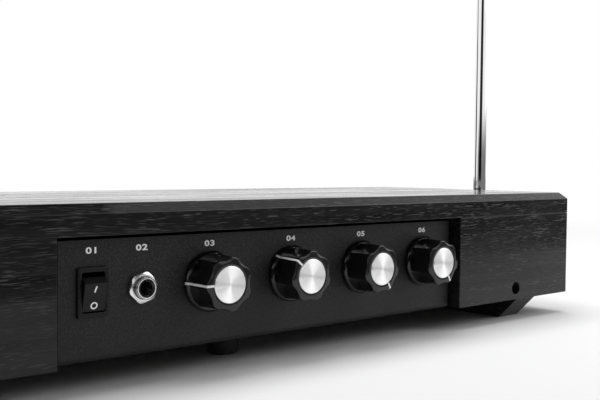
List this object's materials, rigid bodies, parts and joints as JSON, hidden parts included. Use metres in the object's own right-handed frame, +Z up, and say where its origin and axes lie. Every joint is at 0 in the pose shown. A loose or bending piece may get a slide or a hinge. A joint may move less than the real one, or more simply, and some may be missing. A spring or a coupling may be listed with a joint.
{
  "type": "theremin",
  "caption": "Theremin in a black wooden cabinet with turning knobs, a rocker switch and a jack on a recessed panel, an upright pitch antenna and a looped volume antenna.",
  "frame": {"origin": "on the axis of the microphone-stand thread, at the plane of the thread's mouth, 4.2 mm above the floor plane", "axes": "+Z up; the performer's side, with the controls, faces -Y; +X to the performer's right, towards the pitch antenna"},
  "size_m": [0.7546, 0.1752, 0.5002],
  "materials": {
    "black_wood": "black stain on open-pored wood, satin",
    "panel_paint": "fine-textured black paint on bent sheet",
    "black_screw": "black oxide",
    "zinc_steel": "zinc plated, satin",
    "rubber": "matte black",
    "knob_plastic": "polished black phenolic",
    "spun_aluminium": "spun, with fine turning marks",
    "pot_metal": "satin plated",
    "nickel": "nickel plated",
    "switch_plastic": "fine satin black",
    "terminal_brass": "bright",
    "board_laminate": "green solder mask",
    "coil_copper": "enamelled copper windings",
    "capacitor_sleeve": "shrink sleeve",
    "chrome": "polished chrome on tube",
    "nylon": "natural nylon",
    "lead_insulation": "red stranded hook-up lead"
  },
  "bodies": {
    "root": {"antenna_coils": "coil_copper", "antenna_leads": "lead_insulation", "back_board": "black_wood", "board_screws": "zinc_steel", "board_standoffs": "terminal_brass", "bottom_board_left": "black_wood", "bottom_board_right": "black_wood", "brightness_pot": "pot_metal", "capacitors": "capacitor_sleeve", "chassis": "panel_paint", "chassis_screws": "black_screw", "circuit_board": "board_laminate", "end_board_left": "black_wood", "end_board_right": "black_wood", "fitting_locknuts": "nickel", "flange_screws": "black_screw", "front_block_left": "black_wood", "front_block_right": "black_wood", "integrated_circuits": "switch_plastic", "output_jack": "nickel", "output_jack_nut": "nickel", "pitch_elbow": "nickel", "pitch_pot": "pot_metal", "pitch_sleeve": "nylon", "pot_nuts": "nickel", "power_inlet": "switch_plastic", "power_inlet_nut": "nickel", "power_switch_body": "switch_plastic", "power_switch_terminals": "terminal_brass", "regulators": "switch_plastic", "rubber_foot_back": "rubber", "rubber_foot_front": "rubber", "runner_left": "black_wood", "runner_right": "black_wood", "stand_flange": "zinc_steel", "top_board": "black_wood", "tuning_coils": "nickel", "volume_pot": "pot_metal", "volume_union": "nickel", "waveform_pot": "pot_metal", "wood_screws": "black_screw"},
    "volume_control": {"volume_shaft": "pot_metal", "volume_knob": "knob_plastic", "volume_cap": "spun_aluminium"},
    "pitch_control": {"pitch_shaft": "pot_metal", "pitch_knob": "knob_plastic", "pitch_cap": "spun_aluminium"},
    "waveform_control": {"waveform_shaft": "pot_metal", "waveform_knob": "knob_plastic", "waveform_cap": "spun_aluminium"},
    "brightness_control": {"brightness_shaft": "pot_metal", "brightness_knob": "knob_plastic", "brightness_cap": "spun_aluminium"},
    "power_rocker": {"power_switch_rocker": "switch_plastic"},
    "pitch_nut": {"pitch_clamp_nut": "nickel"},
    "volume_nut": {"volume_clamp_nut": "nickel"},
    "antenna": {"pitch_antenna": "chrome"},
    "loop_sleeve": {"volume_sleeve": "nylon"},
    "loop": {"volume_loop": "chrome"}
  },
  "joints": [
    {"name": "volume_turn", "type": "hinge", "parent": "root", "child": "volume_control", "pos_m": [-0.0475, -0.076, 0.0383], "axis": [0, 1, 0], "range_deg": [-60, 240]},
    {"name": "pitch_turn", "type": "hinge", "parent": "root", "child": "pitch_control", "pos_m": [0.0008, -0.076, 0.0383], "axis": [0, 1, 0], "range_deg": [-102, 198]},
    {"name": "waveform_turn", "type": "hinge", "parent": "root", "child": "waveform_control", "pos_m": [0.0491, -0.076, 0.0383], "axis": [0, 1, 0], "range_deg": [-300, 0]},
    {"name": "brightness_turn", "type": "hinge", "parent": "root", "child": "brightness_control", "pos_m": [0.0974, -0.076, 0.0383], "axis": [0, 1, 0], "range_deg": [-300, 0]},
    {"name": "power_rock", "type": "hinge", "parent": "root", "child": "power_rocker", "pos_m": [-0.106, -0.0709, 0.0383], "axis": [-1, 0, 0], "range_deg": [0, 28]},
    {"name": "pitch_nut_turn", "type": "hinge", "parent": "root", "child": "pitch_nut", "pos_m": [0.257, 0.0075, 0.0455], "axis": [0, 0, 1], "range_deg": [0, 540]},
    {"name": "volume_nut_turn", "type": "hinge", "parent": "root", "child": "volume_nut", "pos_m": [-0.241, 0, 0.038], "axis": [-1, 0, 0], "range_deg": [0, 540]},
    {"name": "antenna_pull", "type": "slide", "parent": "root", "child": "antenna", "axis": [0, 0, 1], "range_m": [0, 0.02]},
    {"name": "loop_swivel", "type": "hinge", "parent": "root", "child": "loop_sleeve", "pos_m": [-0.241, 0, 0.038], "axis": [1, 0, 0], "continuous": true},
    {"name": "loop_pull", "type": "slide", "parent": "loop_sleeve", "child": "loop", "axis": [-1, 0, 0], "range_m": [0, 0.02]}
  ]
}
